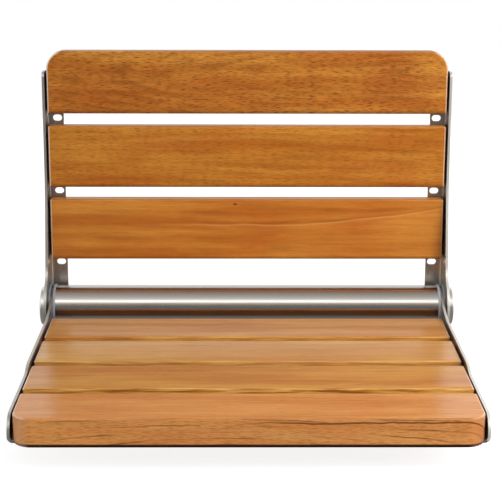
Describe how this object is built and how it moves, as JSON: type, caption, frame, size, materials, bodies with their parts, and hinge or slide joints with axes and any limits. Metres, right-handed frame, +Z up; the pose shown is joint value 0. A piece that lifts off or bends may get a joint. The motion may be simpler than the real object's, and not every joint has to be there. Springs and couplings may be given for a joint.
{
  "type": "fold down wall seat",
  "caption": "Wall-mounted fold-down seat: wooden back and seat slats on folded steel brackets and arms, hinged about a round tube with disc-headed pivot bolts.",
  "frame": {"origin": "on the wall, midway between the left and right middle fixing slots", "axes": "+X to the sitter's left, seen from the front to the right; +Y into the wall; +Z up. The seat is stored down, as it is used."},
  "size_m": [0.506, 0.4205, 0.3545],
  "materials": {
    "back_wood": "oiled, satin",
    "seat_wood": "oiled, satin",
    "sheet_steel": "stainless sheet, satin faces and bright edges",
    "tube_steel": "stainless tube, semi-bright",
    "turned_steel": "turned stainless, bright",
    "screw_steel": "bright",
    "bearing_nylon": "natural white nylon"
  },
  "bodies": {
    "wall_frame": {"back_slat_bottom": "back_wood", "back_slat_middle": "back_wood", "back_slat_top": "back_wood", "hinge_tube": "tube_steel", "left_wall_bracket": "sheet_steel", "left_pivot_bolt": "turned_steel", "left_cover_washer": "turned_steel", "left_friction_washer": "bearing_nylon", "left_tube_end_plug": "turned_steel", "left_stop_stud": "turned_steel", "left_back_screws": "screw_steel", "right_wall_bracket": "sheet_steel", "right_pivot_bolt": "turned_steel", "right_cover_washer": "turned_steel", "right_friction_washer": "bearing_nylon", "right_tube_end_plug": "turned_steel", "right_stop_stud": "turned_steel", "right_back_screws": "screw_steel"},
    "seat": {"seat_slat_rear": "seat_wood", "seat_slat_second": "seat_wood", "seat_slat_third": "seat_wood", "seat_slat_front": "seat_wood", "left_seat_arm": "sheet_steel", "left_seat_screws": "screw_steel", "left_pivot_bush": "bearing_nylon", "right_seat_arm": "sheet_steel", "right_seat_screws": "screw_steel", "right_pivot_bush": "bearing_nylon"}
  },
  "joints": [
    {"name": "seat_fold", "type": "hinge", "parent": "wall_frame", "child": "seat", "pos_m": [0, -0.027, -0.14], "axis": [-1, 0, 0], "range_deg": [0, 90]}
  ]
}
